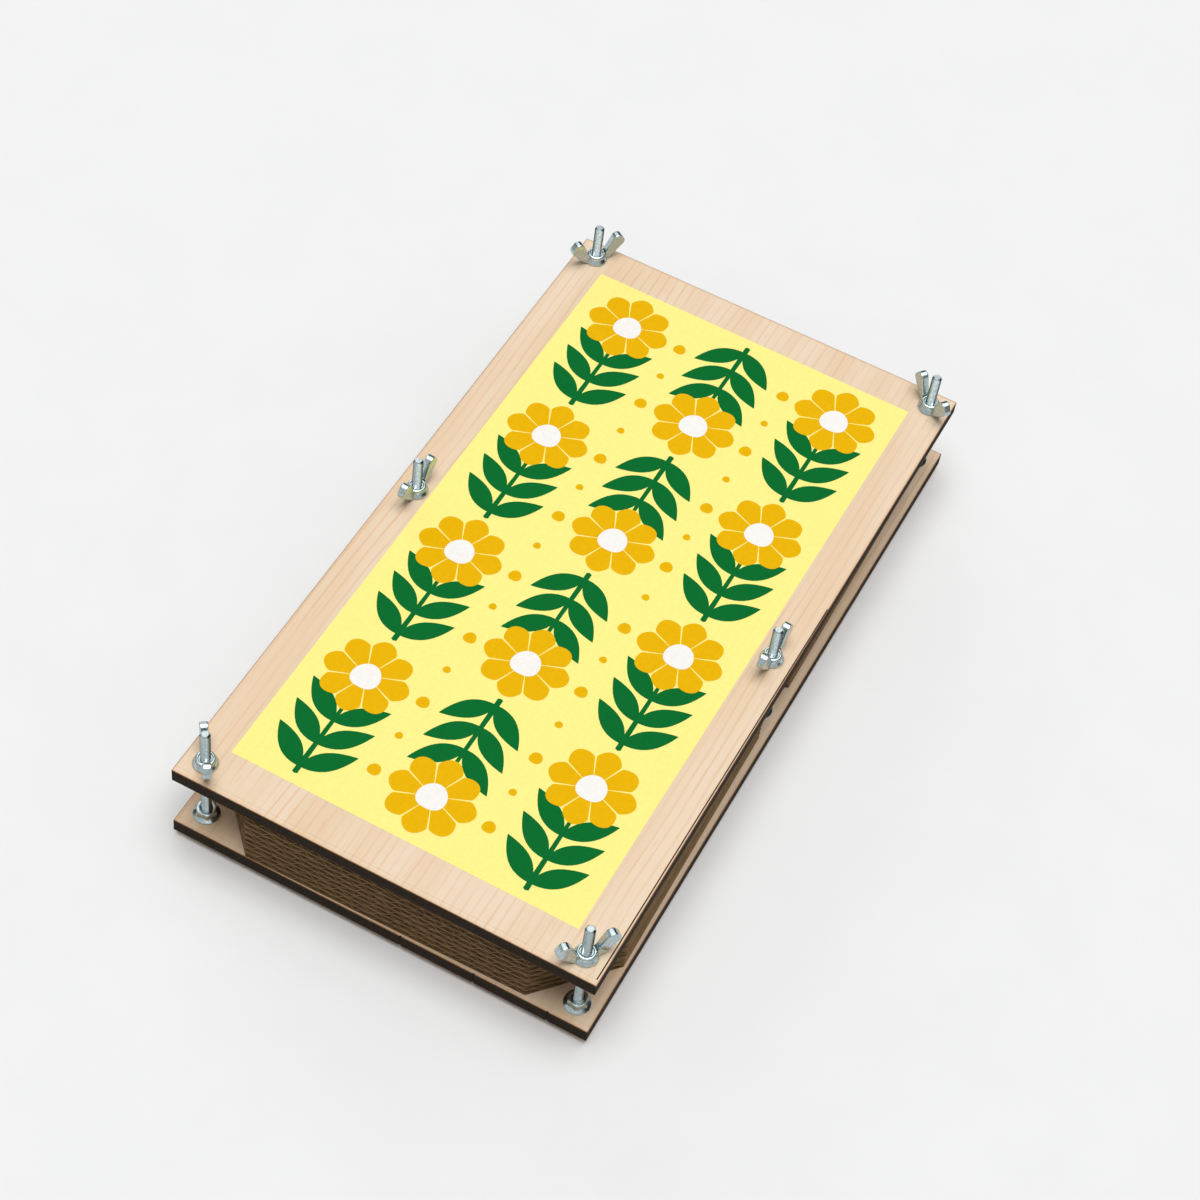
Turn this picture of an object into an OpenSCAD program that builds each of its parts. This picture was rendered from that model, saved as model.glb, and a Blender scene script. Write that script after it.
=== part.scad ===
// Flower press: two plywood boards squeeze a stack of corrugated cards and
// blotting papers. Six bolts stand up through both boards, each clamped to the
// bottom board by a flange nut, and six wing nuts draw the top board down.
// X runs across the boards, Y along them and Z up. The origin is the middle of
// the footprint, on the plane that the bolt heads stand on.

/* [Boards] */
// Width of both boards
board_w = 167; // [140:1:240]
// Length of both boards
board_l = 310; // [240:1:420]
// Thickness of each board
board_t = 6; // [4:0.5:12]
// Distance from a board's edges to the axes of the bolts
bolt_inset = 8.5; // [8:0.5:14]
// Gap between a bolt and its hole through a board, all round
board_hole_gap = 0.3; // [0.2:0.05:0.8]

/* [Cards] */
// Thickness of one corrugated card
card_t = 2.9; // [2:0.1:4]
// Distance from a card's long side to the board's long side
card_side_gap = 3; // [2:0.1:5]
// Distance from a card's short side to the board's short side
card_end_gap = 1; // [0.5:0.1:5]
// Angle between a cut corner and the short side of the card
corner_cut_angle = 48; // [35:1:55]
// Gap between a cut corner and the flange nut that it goes round
corner_cut_gap = 4.2; // [2:0.1:8]
// Gap between the inner end of a side notch and the flange nut in it
notch_end_gap = 2; // [1:0.1:6]
// Width of a side notch at its inner end
notch_inner_w = 16; // [14:0.5:24]
// Width of a side notch at the card's edge
notch_outer_w = 27; // [24:0.5:40]
// Turn of the loose stack between the boards, in degrees
stack_turn = 0.8; // [0:0.1:1]
// Air between one loose leaf and the next, and between the stack and a board
leaf_gap = 0.01; // [0.01:0.01:0.1]

/* [Blotting papers] */
// Thickness of one sheet
paper_t = 0.14; // [0.1:0.02:0.3]
// Distance from a sheet's short side to the card's short side
paper_end_gap = 5; // [2:0.5:12]
// Gap between a sheet's long side and the flange nuts beside it
paper_side_gap = 2; // [1.5:0.1:6]
// Distance from a sheet's cut corner to the card's cut corner
paper_cut_gap = 4; // [2:0.5:12]

/* [Bolts] */
// Diameter over the thread
bolt_d = 3.9; // [3.5:0.1:4.5]
// Length under the head
bolt_l = 55; // [50:1:80]
// Length of the bevel at the tip, one thread pitch
tip_bevel = 0.7; // [0.4:0.05:1]
// Width across the flats of the hexagon head
head_flats = 7; // [6:0.1:8]
// Height of the head
head_h = 2.8; // [2:0.1:4]
// Height of the bevel at the head's corners
head_bevel = 0.3; // [0.1:0.05:0.6]

/* [Flange nuts] */
// Width across the flats
nut_flats = 7; // [6:0.1:8]
// Height over all
nut_h = 4; // [3:0.1:6]
// Diameter of the flange
flange_d = 10; // [9.4:0.1:12]
// Height of the flange's upright rim
flange_rim_h = 0.7; // [0.4:0.1:1]
// Height at which the sloping flange runs into the hexagon
flange_slope_h = 1.5; // [1.2:0.1:2]
// Height of the bevel at the nut's corners
nut_bevel = 0.3; // [0.1:0.05:0.6]

/* [Wing nuts] */
// Diameter of the hub at its foot
hub_d = 8.8; // [8:0.1:11]
// Diameter of the hub's collar
hub_top_d = 7.1; // [6:0.1:8]
// Height of the hub
hub_h = 3.7; // [3.4:0.1:5]
// Height of the hub's upright foot
hub_foot_h = 0.7; // [0.5:0.1:1.5]
// Height at which the slope above the foot runs into the collar
hub_slope_h = 2.4; // [1.6:0.1:3.2]
// Diameter of the countersink in the hub's top
hub_sink_d = 4.9; // [4.7:0.05:5.4]
// Depth of that countersink
hub_sink_h = 0.5; // [0.3:0.1:1]
// Distance between the outer ends of the two wings
wing_span = 23.5; // [21:0.5:30]
// Height of the wings above the board
wing_h = 11.6; // [10:0.1:14]
// Thickness of a wing
wing_t = 3.1; // [2:0.1:4]
// Length of a wing's end, over its two round corners
wing_end_w = 6.6; // [5:0.1:8]
// Radius of those corners
wing_tip_r = 1.9; // [0.8:0.1:2.4]
// Height above the board at which a wing's underside starts to rise
wing_foot_h = 0.9; // [0.4:0.1:1.5]
// Slope of a wing's outer edge, from level
wing_outer_slope = 47; // [42:1:52]
// Slope of a wing's inner edge, from level
wing_inner_slope = 65; // [58:1:70]
// Lean of a wing's end, from upright
wing_end_lean = 32; // [25:1:38]

/* [Fits] */
// Gap between a bolt's thread and the nuts that turn on it, all round
thread_gap = 0.05; // [0.02:0.01:0.09]

/* [Hidden] */
$fn = 48;
card_count = 8;
papers_per_gap = 2;
paper_count = papers_per_gap * (card_count - 1);

// Overrun of every cut past the faces that it opens
over = 0.5;

// The six bolts: front is towards -Y and left towards -X. A turn is how far
// round its bolt each nut happens to stand, from X.
bolt_places = ["front_left", "front_right", "middle_left", "middle_right", "back_left", "back_right"];
side_x_shares = [-1, 1, -1, 1, -1, 1];
side_y_shares = [-1, -1, 0, 0, 1, 1];
nut_turns = [126, 50, 87, 87, 53, -37];
bolt_range = [0 : len(bolt_places) - 1];

// Heights of the faces that the pieces lie on
bottom_z = head_h;
stack_z = bottom_z + board_t;
leaf_step = card_t + papers_per_gap * paper_t + leaf_gap;
stack_h = leaf_gap + card_count * leaf_step - papers_per_gap * paper_t;
top_z = stack_z + stack_h;
wing_nut_z = top_z + board_t;

// Radii, and the distances of the bolts from the middle
bolt_x = board_w / 2 - bolt_inset;
bolt_y = board_l / 2 - bolt_inset;
bolt_r = bolt_d / 2;
thread_r = bolt_r + thread_gap;
board_hole_r = bolt_r + board_hole_gap;
flange_r = flange_d / 2;

// Half sizes of the card and of the paper
card_x = board_w / 2 - card_side_gap;
card_y = board_l / 2 - card_end_gap;
paper_x = bolt_x - flange_r - paper_side_gap;
paper_y = card_y - paper_end_gap;

// Where the cut corners of the card and of the paper meet their short and long
// sides. A cut passes a bolt's axis at the distance r.
function cut_on_end(r, y) = bolt_x - (r + (y - bolt_y) * cos(corner_cut_angle)) / sin(corner_cut_angle);
function cut_on_side(r, x) = bolt_y - (r + (x - bolt_x) * sin(corner_cut_angle)) / cos(corner_cut_angle);
card_cut_r = flange_r + corner_cut_gap;
paper_cut_r = card_cut_r + paper_cut_gap;
cut_end_x = cut_on_end(card_cut_r, card_y);
cut_end_y = cut_on_side(card_cut_r, card_x);
paper_cut_end_x = cut_on_end(paper_cut_r, paper_y);
paper_cut_end_y = cut_on_side(paper_cut_r, paper_x);
notch_end_x = bolt_x - flange_r - notch_end_gap;

// A wing's two round corners, and where its straight edges leave them
wing_corner_step = wing_end_w - 2 * wing_tip_r;
wing_low_corner = [wing_span / 2 - wing_tip_r, wing_h - wing_tip_r - wing_corner_step * cos(wing_end_lean)];
wing_top_corner = [wing_low_corner.x - wing_corner_step * sin(wing_end_lean), wing_h - wing_tip_r];
wing_end_normal = wing_tip_r * [cos(wing_end_lean), sin(wing_end_lean)];
wing_outer_point = wing_low_corner + wing_tip_r * [sin(wing_outer_slope), -cos(wing_outer_slope)];
wing_inner_point = wing_top_corner + wing_tip_r * [-sin(wing_inner_slope), cos(wing_inner_slope)];

ply_colour = [0.89, 0.79, 0.68];
card_colour = [0.47, 0.37, 0.26];
paper_colour = [0.93, 0.91, 0.86];
zinc_colour = [0.72, 0.76, 0.76];

// Moves a piece to the axis of bolt i.
module at_bolt(i) {
    translate([side_x_shares[i] * bolt_x, side_y_shares[i] * bolt_y, 0]) children();
}

// One board, lying on height z, with its six bolt holes.
module board(z) {
    color(ply_colour)
    translate([0, 0, z])
    difference() {
        translate([-board_w / 2, -board_l / 2, 0]) cube([board_w, board_l, board_t]);
        for (i = bolt_range) {
            at_bolt(i) translate([0, 0, -over]) cylinder(r = board_hole_r, h = board_t + 2 * over);
        }
    }
}

// A hexagon bar standing on the plane z = 0, its top corners bevelled.
module hexagon(flats, h, bevel) {
    flat_r = flats / 2;
    corner_r = flat_r / cos(30);
    rim_r = corner_r + over;
    rim_h = h - bevel * (rim_r - flat_r) / (corner_r - flat_r);
    intersection() {
        cylinder(r = corner_r, h = h, $fn = 6);
        rotate_extrude() polygon([[0, 0], [rim_r, 0], [rim_r, rim_h], [flat_r, h], [0, h]]);
    }
}

// A bolt, its head under the bottom board.
module bolt(i) {
    color(zinc_colour)
    at_bolt(i)
    translate([0, 0, bottom_z])
    union() {
        mirror([0, 0, 1]) hexagon(head_flats, head_h, head_bevel);
        cylinder(r = bolt_r, h = bolt_l - tip_bevel);
        translate([0, 0, bolt_l - tip_bevel]) cylinder(r1 = bolt_r, r2 = bolt_r - tip_bevel, h = tip_bevel);
    }
}

// The nut that clamps a bolt to the bottom board.
module flange_nut(i) {
    color(zinc_colour)
    at_bolt(i)
    translate([0, 0, stack_z])
    difference() {
        union() {
            rotate_extrude() polygon([
                [0, 0],
                [flange_r, 0],
                [flange_r, flange_rim_h],
                [nut_flats / 2, flange_slope_h],
                [0, flange_slope_h]
            ]);
            rotate([0, 0, nut_turns[i]]) hexagon(nut_flats, nut_h, nut_bevel);
        }
        translate([0, 0, -over]) cylinder(r = thread_r, h = nut_h + 2 * over);
    }
}

// The outline of one wing, seen from its flat side, from the bolt's axis out.
module wing_outline() {
    outer_foot_x = wing_outer_point.x - (wing_outer_point.y - wing_foot_h) / tan(wing_outer_slope);
    inner_foot_x = wing_inner_point.x - (wing_inner_point.y - hub_h) / tan(wing_inner_slope);
    union() {
        polygon([
            [0, 0],
            [hub_d / 2, 0],
            [outer_foot_x, wing_foot_h],
            wing_outer_point,
            wing_low_corner + wing_end_normal,
            wing_top_corner + wing_end_normal,
            wing_inner_point,
            [inner_foot_x, hub_h],
            [0, hub_h]
        ]);
        translate(wing_low_corner) circle(r = wing_tip_r);
        translate(wing_top_corner) circle(r = wing_tip_r);
    }
}

// The nut that presses the top board down: a hub with two leaning wings.
module wing_nut(i) {
    color(zinc_colour)
    at_bolt(i)
    translate([0, 0, wing_nut_z])
    rotate([0, 0, nut_turns[i]])
    difference() {
        union() {
            rotate_extrude() polygon([
                [0, 0],
                [hub_d / 2, 0],
                [hub_d / 2, hub_foot_h],
                [hub_top_d / 2, hub_slope_h],
                [hub_top_d / 2, hub_h],
                [0, hub_h]
            ]);
            for (side = [0, 180]) {
                rotate([90, 0, side]) linear_extrude(height = wing_t, center = true) wing_outline();
            }
        }
        translate([0, 0, -over]) cylinder(r = thread_r, h = hub_h + 2 * over);
        translate([0, 0, hub_h - hub_sink_h]) cylinder(r1 = thread_r, r2 = hub_sink_d / 2, h = hub_sink_h);
        translate([0, 0, hub_h]) cylinder(r = hub_sink_d / 2, h = over);
    }
}

// Height of card k of the stack, counted from the bottom.
function card_z(k) = stack_z + leaf_gap + (k - 1) * leaf_step;

// Card k, with its cut corners and its two side notches that go round the nuts
// and bolts.
module card(k) {
    color(card_colour)
    translate([0, 0, card_z(k)])
    rotate([0, 0, stack_turn])
    linear_extrude(height = card_t)
    polygon([
        [cut_end_x, -card_y],
        [card_x, -cut_end_y],
        [card_x, -notch_outer_w / 2],
        [notch_end_x, -notch_inner_w / 2],
        [notch_end_x, notch_inner_w / 2],
        [card_x, notch_outer_w / 2],
        [card_x, cut_end_y],
        [cut_end_x, card_y],
        [-cut_end_x, card_y],
        [-card_x, cut_end_y],
        [-card_x, notch_outer_w / 2],
        [-notch_end_x, notch_inner_w / 2],
        [-notch_end_x, -notch_inner_w / 2],
        [-card_x, -notch_outer_w / 2],
        [-card_x, -cut_end_y],
        [-cut_end_x, -card_y]
    ]);
}

// Blotting paper k, with cut corners, counted from the bottom. Odd ones lie on
// the card below them, and even ones lie against the card above.
module blotting_paper(k) {
    cards_below = ceil(k / papers_per_gap);
    on_card = k % papers_per_gap == 1;
    color(paper_colour)
    translate([0, 0, on_card ? card_z(cards_below) + card_t : card_z(cards_below + 1) - paper_t])
    rotate([0, 0, stack_turn])
    linear_extrude(height = paper_t)
    polygon([
        [paper_cut_end_x, -paper_y],
        [paper_x, -paper_cut_end_y],
        [paper_x, paper_cut_end_y],
        [paper_cut_end_x, paper_y],
        [-paper_cut_end_x, paper_y],
        [-paper_x, paper_cut_end_y],
        [-paper_x, -paper_cut_end_y],
        [-paper_cut_end_x, -paper_y]
    ]);
}

board(bottom_z);  // bottom_board
board(top_z);  // top_board
for (i = bolt_range) {
    bolt(i);
    flange_nut(i);
    wing_nut(i);
}
for (k = [1 : card_count]) {
    card(k);
}
for (k = [1 : paper_count]) {
    blotting_paper(k);
}
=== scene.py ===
import math
import random

import bpy
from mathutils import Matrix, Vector


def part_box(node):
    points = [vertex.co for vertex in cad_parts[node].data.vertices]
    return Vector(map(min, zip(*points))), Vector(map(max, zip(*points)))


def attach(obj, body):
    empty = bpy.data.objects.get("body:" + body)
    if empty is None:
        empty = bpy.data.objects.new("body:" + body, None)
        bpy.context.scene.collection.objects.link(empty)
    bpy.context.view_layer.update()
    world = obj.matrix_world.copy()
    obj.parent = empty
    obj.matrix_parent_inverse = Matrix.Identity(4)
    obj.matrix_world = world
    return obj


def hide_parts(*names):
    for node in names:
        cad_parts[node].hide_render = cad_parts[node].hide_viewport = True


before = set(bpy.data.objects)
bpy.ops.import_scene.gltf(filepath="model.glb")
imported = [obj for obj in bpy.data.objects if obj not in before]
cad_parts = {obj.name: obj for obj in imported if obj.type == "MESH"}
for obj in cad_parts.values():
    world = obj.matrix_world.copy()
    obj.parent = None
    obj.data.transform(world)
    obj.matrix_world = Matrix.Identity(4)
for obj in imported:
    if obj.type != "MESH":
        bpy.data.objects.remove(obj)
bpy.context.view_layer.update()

mm = 0.001
weld = 0.0005 * mm          # corners closer than this are one corner
places = [node[len("bolt_"):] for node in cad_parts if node.startswith("bolt_")]
print("frame loaded, bolts at", ", ".join(places))

# the photographed view: position in metres, turn in degrees
cameraView = {
    "position": (0.2334, -0.6118, 0.8509),
    "turn": (38.061, -5.658, 27.639),
    "lens": 84.03,
}

bpy.ops.object.camera_add(
    location=cameraView["position"],
    rotation=[math.radians(angle) for angle in cameraView["turn"]],
)
camera = bpy.context.object
camera.name = "studioCamera"
camera.data.lens = cameraView["lens"]
bpy.context.scene.camera = camera
print("camera placed")


# Selecting and settling

def deselectAll():
    bpy.ops.object.select_all(action="DESELECT")


def pick(*pieces):
    # these pieces alone are selected, and the first one is active
    deselectAll()
    for piece in pieces:
        piece.select_set(True)
    bpy.context.view_layer.objects.active = pieces[0]


def edit(piece, kind="FACE"):
    pick(piece)
    bpy.ops.object.mode_set(mode="EDIT")
    bpy.ops.mesh.select_mode(type=kind)


def leaveEdit():
    bpy.ops.object.mode_set(mode="OBJECT")


def pickFaces(piece, isWanted):
    # opens the piece with only the faces selected whose middle and normal pass
    edit(piece)
    bpy.ops.mesh.select_all(action="DESELECT")
    leaveEdit()
    for face in piece.data.polygons:
        face.select = isWanted(face.center, face.normal)
    bpy.ops.object.mode_set(mode="EDIT")


def settle(piece):
    # puts the piece's place, turn and size into its mesh
    pick(piece)
    bpy.ops.object.transform_apply(location=True, rotation=True, scale=True)


def tidyMesh(piece):
    edit(piece)
    bpy.ops.mesh.select_all(action="SELECT")
    bpy.ops.mesh.remove_doubles(threshold=weld)
    bpy.ops.mesh.normals_make_consistent(inside=False)
    leaveEdit()


def named(name):
    piece = bpy.context.object
    piece.name = name
    piece.data.name = name
    return piece


def copied(piece, name, at=(0, 0, 0), turn=0.0, size=1.0):
    # a copy with its own mesh, resized and turned on the origin, then moved
    pick(piece)
    bpy.ops.object.duplicate(linked=False)
    twin = named(name)
    twin.scale = (size, size, 1)
    twin.rotation_euler = (0, 0, math.radians(turn))
    twin.location = at
    settle(twin)
    return twin


def joined(pieces, name):
    pick(*pieces)
    if len(pieces) > 1:
        bpy.ops.object.join()
    return named(name)


def useModifier(piece, kind, **settings):
    pick(piece)
    bpy.ops.object.modifier_add(type=kind)
    modifier = piece.modifiers[-1]
    for setting, value in settings.items():
        setattr(modifier, setting, value)
    bpy.ops.object.modifier_apply(modifier=modifier.name)


def combine(piece, tool, operation):
    # cuts, trims or joins the piece with a tool that is then thrown away
    useModifier(piece, "BOOLEAN", operation=operation, solver="EXACT", object=tool)
    bpy.data.objects.remove(tool, do_unlink=True)


def softenEdges(piece, width, steps=2, fromAngle=40):
    useModifier(
        piece, "BEVEL", width=width, segments=steps, limit_method="ANGLE",
        angle_limit=math.radians(fromAngle), use_clamp_overlap=True,
    )


def smooth(piece, upTo):
    pick(piece)
    bpy.ops.object.shade_smooth_by_angle(angle=math.radians(upTo))


# Shapes that several pieces start from

def drawn(name, corners):
    # a plane merged to one point, then extruded from corner to corner
    deselectAll()
    bpy.ops.mesh.primitive_plane_add(size=mm, location=corners[0])
    piece = named(name)
    edit(piece, "VERT")
    bpy.ops.mesh.merge(type="CENTER")
    for here, there in zip(corners, corners[1:]):
        step = [b - a for a, b in zip(here, there)]
        bpy.ops.mesh.extrude_region_move(TRANSFORM_OT_translate={"value": step})
    leaveEdit()
    settle(piece)
    return piece


def raisedOutline(name, corners, rise):
    # a closed outline, filled and extruded by the vector rise
    piece = drawn(name, corners + corners[:1])
    edit(piece, "VERT")
    bpy.ops.mesh.select_all(action="SELECT")
    bpy.ops.mesh.remove_doubles(threshold=weld)
    bpy.ops.mesh.edge_face_add()
    bpy.ops.mesh.extrude_region_move(TRANSFORM_OT_translate={"value": rise})
    leaveEdit()
    tidyMesh(piece)
    return piece


def turned(name, rings, sides=64, hollow=False):
    # a rim extruded and resized through rings of (radius, height); hollow ends where it began
    deselectAll()
    radius, height = rings[0]
    bpy.ops.mesh.primitive_circle_add(
        vertices=sides, radius=radius, location=(0, 0, height),
        fill_type="NOTHING" if hollow else "NGON",
    )
    piece = named(name)
    edit(piece, "VERT")
    bpy.ops.mesh.select_all(action="SELECT")
    for nextRadius, nextHeight in rings[1:] + (rings[:1] if hollow else []):
        rise = (0, 0, nextHeight - height)
        growth = nextRadius / radius
        bpy.ops.mesh.extrude_region_move(TRANSFORM_OT_translate={"value": rise})
        bpy.ops.transform.resize(value=(growth, growth, 1), center_override=(0, 0, nextHeight))
        radius, height = nextRadius, nextHeight
    leaveEdit()
    settle(piece)
    tidyMesh(piece)
    return piece


def slab(name, middle, size, turn=0.0):
    deselectAll()
    bpy.ops.mesh.primitive_cube_add(
        size=1, location=middle, rotation=(0, 0, math.radians(turn)), scale=size
    )
    piece = named(name)
    settle(piece)
    return piece


def nodeSolid(node, name):
    # a welded copy of a CAD node's mesh, to build on
    piece = bpy.data.objects.new(name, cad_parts[node].data.copy())
    bpy.context.scene.collection.objects.link(piece)
    tidyMesh(piece)
    return piece


def boltAxis(spot):
    low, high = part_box("bolt_" + spot)
    return (low + high) / 2


def giveMaterials(piece, flat, sides=None, steepFrom=0.8, inner=None, isInner=None):
    # faces whose normal leans past steepFrom take the second material, and faces
    # whose middle and normal pass isInner take the third
    piece.data.materials.clear()
    for material in (flat, sides, inner):
        if material:
            piece.data.materials.append(material)
    for face in piece.data.polygons:
        if sides and abs(face.normal.z) < steepFrom:
            face.material_index = 1
        elif inner and isInner(face.center, face.normal):
            face.material_index = 2
        else:
            face.material_index = 0


# Shader helpers

def tint(red, green, blue):
    # a picture's 0 to 255 values as Blender's linear colour
    def linear(part):
        share = part / 255
        return share / 12.92 if share <= 0.04045 else ((share + 0.055) / 1.055) ** 2.4
    return (linear(red), linear(green), linear(blue), 1)


def wire(tree, kind, inputs, **settings):
    node = tree.nodes.new("ShaderNode" + kind)
    for setting, value in settings.items():
        setattr(node, setting, value)
    for socket, value in inputs.items():
        if isinstance(value, bpy.types.NodeSocket):
            tree.links.new(value, node.inputs[socket])
        else:
            node.inputs[socket].default_value = value
    return node


def maths(tree, operation, *values):
    return wire(tree, "Math", dict(enumerate(values)), operation=operation).outputs[0]


def blended(tree, factor, first, second, how="MIX"):
    node = wire(tree, "Mix", {0: factor, 6: first, 7: second}, data_type="RGBA", blend_type=how)
    return node.outputs[2]


def stepped(tree, value, low, high, toLow=0.0, toHigh=1.0):
    return wire(
        tree, "MapRange", {0: value, 1: low, 2: high, 3: toLow, 4: toHigh},
        interpolation_type="SMOOTHSTEP",
    ).outputs[0]


def noise(tree, vector, scale, detail=3.0, roughness=0.55, warp=0.0):
    return wire(tree, "TexNoise", {
        "Vector": vector, "Scale": scale, "Detail": detail, "Roughness": roughness, "Distortion": warp,
    }).outputs[0]


def parts(tree, vector):
    return wire(tree, "SeparateXYZ", {0: vector}).outputs


def together(tree, x, y, z):
    return wire(tree, "CombineXYZ", {0: x, 1: y, 2: z}).outputs[0]


def newGroup(name, inputs, outputs):
    tree = bpy.data.node_groups.new(name, "ShaderNodeTree")
    for label, kind, value in inputs:
        socket = tree.interface.new_socket(label, in_out="INPUT", socket_type="NodeSocket" + kind)
        if value is not None:
            socket.default_value = value
    for label, kind in outputs:
        tree.interface.new_socket(label, in_out="OUTPUT", socket_type="NodeSocket" + kind)
    return tree, tree.nodes.new("NodeGroupInput").outputs, tree.nodes.new("NodeGroupOutput").inputs


def useGroup(tree, group, inputs):
    node = tree.nodes.new("ShaderNodeGroup")
    node.node_tree = group
    for socket, value in inputs.items():
        if isinstance(value, bpy.types.NodeSocket):
            tree.links.new(value, node.inputs[socket])
        else:
            node.inputs[socket].default_value = value
    return node.outputs


def newMaterial(name, **constants):
    material = bpy.data.materials.new(name)
    material.use_nodes = True
    tree = material.node_tree
    shader = tree.nodes["Principled BSDF"]
    for socket, value in constants.items():
        shader.inputs[socket.replace("_", " ")].default_value = value
    vector = tree.nodes.new("ShaderNodeTexCoord").outputs["Object"]
    return material, tree, shader, vector


def bump(tree, shader, height, depth, strength=1.0):
    node = wire(tree, "Bump", {"Height": height, "Distance": depth, "Strength": strength})
    tree.links.new(node.outputs[0], shader.inputs["Normal"])


# Shared effects; a grain size is its width across and length along the grain

grainSizes = {
    "tone": (16 * mm, 140 * mm),
    "wander": (45 * mm, 200 * mm),
    "strength": (11 * mm, 45 * mm),
    "fleck": (1.1 * mm, 13 * mm),
    "fibreStretch": 24.0,
}
rimSizes = {
    "dotEdge": 0.05 * mm,
    "dotFade": 0.16 * mm,
    "raggedPerMetre": 700.0,
    "dotsPerMetre": 3600.0,
}


def makeGrainGroup():
    # veneer grain along Y: slow changes of tone, thin soft ring lines and fine fibres
    tree, given, result = newGroup("veneerGrain", [
        ("Vector", "Vector", None),
        ("Pale", "Color", None),
        ("Warm", "Color", None),
        ("Brown", "Color", None),
        ("Ring Width", "Float", 3.6 * mm),
        ("Fibre Width", "Float", 0.5 * mm),
    ], [("Color", "Color"), ("Height", "Float")])
    x, y, z = parts(tree, given["Vector"])

    def along(width, length):
        across = maths(tree, "DIVIDE", x, width)
        up = maths(tree, "DIVIDE", z, width)
        return together(tree, across, maths(tree, "DIVIDE", y, length), up)

    ringWidth, fibreWidth = given["Ring Width"], given["Fibre Width"]
    tone = noise(tree, along(*grainSizes["tone"]), 1.0, 2.0)
    wander = maths(tree, "MULTIPLY", noise(tree, along(*grainSizes["wander"]), 1.0, 3.0, 0.5), 3.0)
    ring = maths(tree, "FRACT", maths(tree, "ADD", maths(tree, "DIVIDE", x, ringWidth), wander))
    rise = stepped(tree, ring, 0.62, 0.92)
    fall = stepped(tree, ring, 0.92, 1.0, 1.0, 0.0)
    patches = noise(tree, along(*grainSizes["strength"]), 1.0, 2.0)
    strength = stepped(tree, patches, 0.3, 0.72, 0.1, 0.5)
    lines = maths(tree, "MULTIPLY", maths(tree, "MULTIPLY", rise, fall), strength)
    fibreLength = maths(tree, "MULTIPLY", fibreWidth, grainSizes["fibreStretch"])
    fibres = noise(tree, along(fibreWidth, fibreLength), 1.0, 3.0, 0.6)
    flecks = noise(tree, along(*grainSizes["fleck"]), 1.0, 1.0)
    colour = blended(tree, stepped(tree, tone, 0.34, 0.66), given["Pale"], given["Warm"])
    colour = blended(tree, lines, colour, given["Brown"])
    colour = blended(tree, stepped(tree, fibres, 0.5, 0.8, 0.0, 0.22), colour, given["Brown"])
    colour = blended(tree, stepped(tree, flecks, 0.66, 0.8, 0.0, 0.3), colour, given["Brown"])
    tree.links.new(colour, result["Color"])
    tree.links.new(maths(tree, "SUBTRACT", 1.0, fibres), result["Height"])
    return tree


def makeRimGroup():
    # how close a point of a board's face is to its outline, as a thin line, a wider haze
    # and a faint dotted score at some distance inside the front edge
    tree, given, result = newGroup("laserRim", [
        ("Vector", "Vector", None),
        ("Half Width", "Float", 80 * mm),
        ("Half Length", "Float", 150 * mm),
        ("Line", "Float", 0.3 * mm),
        ("Haze", "Float", 1.5 * mm),
        ("Score", "Float", 2.4 * mm),
    ], [("Line", "Float"), ("Haze", "Float"), ("Score", "Float")])
    x, y = parts(tree, given["Vector"])[:2]
    fromSide = maths(tree, "SUBTRACT", given["Half Width"], maths(tree, "ABSOLUTE", x))
    fromEnd = maths(tree, "SUBTRACT", given["Half Length"], maths(tree, "ABSOLUTE", y))
    raggedness = noise(tree, given["Vector"], rimSizes["raggedPerMetre"])
    ragged = maths(tree, "MULTIPLY", raggedness, given["Line"])
    inward = maths(tree, "SUBTRACT", maths(tree, "MINIMUM", fromSide, fromEnd), ragged)
    tree.links.new(stepped(tree, inward, 0.0, given["Line"], 1.0, 0.0), result["Line"])
    tree.links.new(stepped(tree, inward, 0.0, given["Haze"], 1.0, 0.0), result["Haze"])
    fromFront = maths(tree, "ADD", given["Half Length"], y)
    off = maths(tree, "ABSOLUTE", maths(tree, "SUBTRACT", fromFront, given["Score"]))
    dots = stepped(tree, noise(tree, given["Vector"], rimSizes["dotsPerMetre"], 1.0), 0.34, 0.6)
    scored = stepped(tree, off, rimSizes["dotEdge"], rimSizes["dotFade"], 1.0, 0.0)
    score = maths(tree, "MULTIPLY", scored, dots)
    tree.links.new(score, result["Score"])
    return tree


def makeMottleGroup():
    # two colours in soft spots of a given size, for whatever isn't quite even
    tree, given, result = newGroup("mottle", [
        ("Vector", "Vector", None),
        ("First", "Color", None),
        ("Second", "Color", None),
        ("Spot Size", "Float", 2 * mm),
        ("Contrast", "Float", 0.5),
    ], [("Color", "Color"), ("Mask", "Float")])
    scaled = wire(tree, "VectorMath", {
        0: given["Vector"], 3: maths(tree, "DIVIDE", 1.0, given["Spot Size"]),
    }, operation="SCALE").outputs[0]
    spots = noise(tree, scaled, 1.0, 4.0, 0.6)
    spread = maths(tree, "SUBTRACT", 0.5, maths(tree, "MULTIPLY", given["Contrast"], 0.4))
    mask = stepped(tree, spots, spread, maths(tree, "SUBTRACT", 1.0, spread))
    tree.links.new(blended(tree, mask, given["First"], given["Second"]), result["Color"])
    tree.links.new(mask, result["Mask"])
    return tree


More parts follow.
